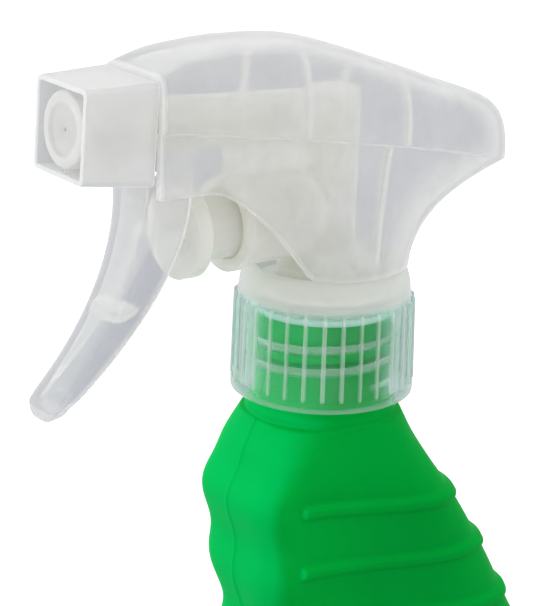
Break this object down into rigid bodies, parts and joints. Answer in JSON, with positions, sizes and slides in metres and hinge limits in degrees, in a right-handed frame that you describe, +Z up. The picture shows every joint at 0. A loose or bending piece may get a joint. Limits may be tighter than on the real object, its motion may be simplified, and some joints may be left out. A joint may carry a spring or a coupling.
{
  "type": "hand mister",
  "caption": "Garden hand mister: a blow-moulded bottle with finger waves and side ribs under a trigger pump head with a square twist nozzle and a ribbed screw closure.",
  "frame": {"origin": "centre of the neck's axis on the flat base that the bottle stands on", "axes": "+Z up along the neck's axis, -Y forwards in the spray direction, +X to the sprayer's left seen by its user; the trigger pulls towards +Y"},
  "size_m": [0.0514, 0.119, 0.2395],
  "materials": {
    "green_hdpe": "satin blow-moulded polyethylene",
    "frosted_pp": "frosted translucent polypropylene",
    "clear_pp": "translucent polypropylene, glossy",
    "natural_pp": "natural polypropylene, slightly warm",
    "soft_pe": "soft sealing polyethylene",
    "tube_pe": "translucent tube",
    "spring_steel": "stainless"
  },
  "bodies": {
    "bottle": {"bottle": "green_hdpe"},
    "head": {"pump_body": "natural_pp", "shroud": "frosted_pp", "discharge_barrel": "natural_pp", "discharge_spring": "spring_steel", "spinner": "natural_pp", "nozzle_seal": "soft_pe", "neck_gasket": "soft_pe", "valve_seat": "natural_pp", "vent_seal": "soft_pe", "dip_tube": "tube_pe", "strainer": "natural_pp", "return_spring": "spring_steel"},
    "closure": {"closure": "clear_pp"},
    "trigger": {"trigger": "frosted_pp"},
    "piston": {"piston": "natural_pp", "piston_seal": "soft_pe"},
    "nozzle": {"nozzle_cap": "frosted_pp"},
    "inlet_ball": {"inlet_ball": "spring_steel"},
    "discharge_valve": {"discharge_valve": "soft_pe"}
  },
  "joints": [
    {"name": "head_lift", "type": "slide", "parent": "bottle", "child": "head", "axis": [0, 0, 1], "range_m": [0, 0.00634]},
    {"name": "closure_turn", "type": "hinge", "parent": "head", "child": "closure", "pos_m": [0, 0, 0.172], "axis": [0, 0, 1], "range_deg": [0, 540]},
    {"name": "trigger_pull", "type": "hinge", "parent": "head", "child": "trigger", "pos_m": [0, -0.0365, 0.225], "axis": [1, 0, 0], "range_deg": [0, 21]},
    {"name": "piston_slide", "type": "slide", "parent": "head", "child": "piston", "axis": [0, 1, 0], "range_m": [0, 0.007], "stiffness_N_per_m": 200, "springref_m": -0.005, "deforming": ["return_spring"]},
    {"name": "nozzle_turn", "type": "hinge", "parent": "head", "child": "nozzle", "pos_m": [0, -0.0564, 0.2269], "axis": [0, 0.9986, -0.0523], "continuous": true},
    {"name": "ball_lift", "type": "slide", "parent": "head", "child": "inlet_ball", "axis": [0, 0, 1], "range_m": [0, 0.0022]},
    {"name": "valve_open", "type": "slide", "parent": "head", "child": "discharge_valve", "axis": [0, -0.9986, 0.0523], "range_m": [0, 0.0008], "deforming": ["discharge_spring"]}
  ],
  "couplings": [
    {"joint": "closure_turn", "follows": "head_lift", "rad_per_m": 1484.3},
    {"joint": "piston_slide", "follows": "trigger_pull", "m_per_rad": 0.0188}
  ]
}
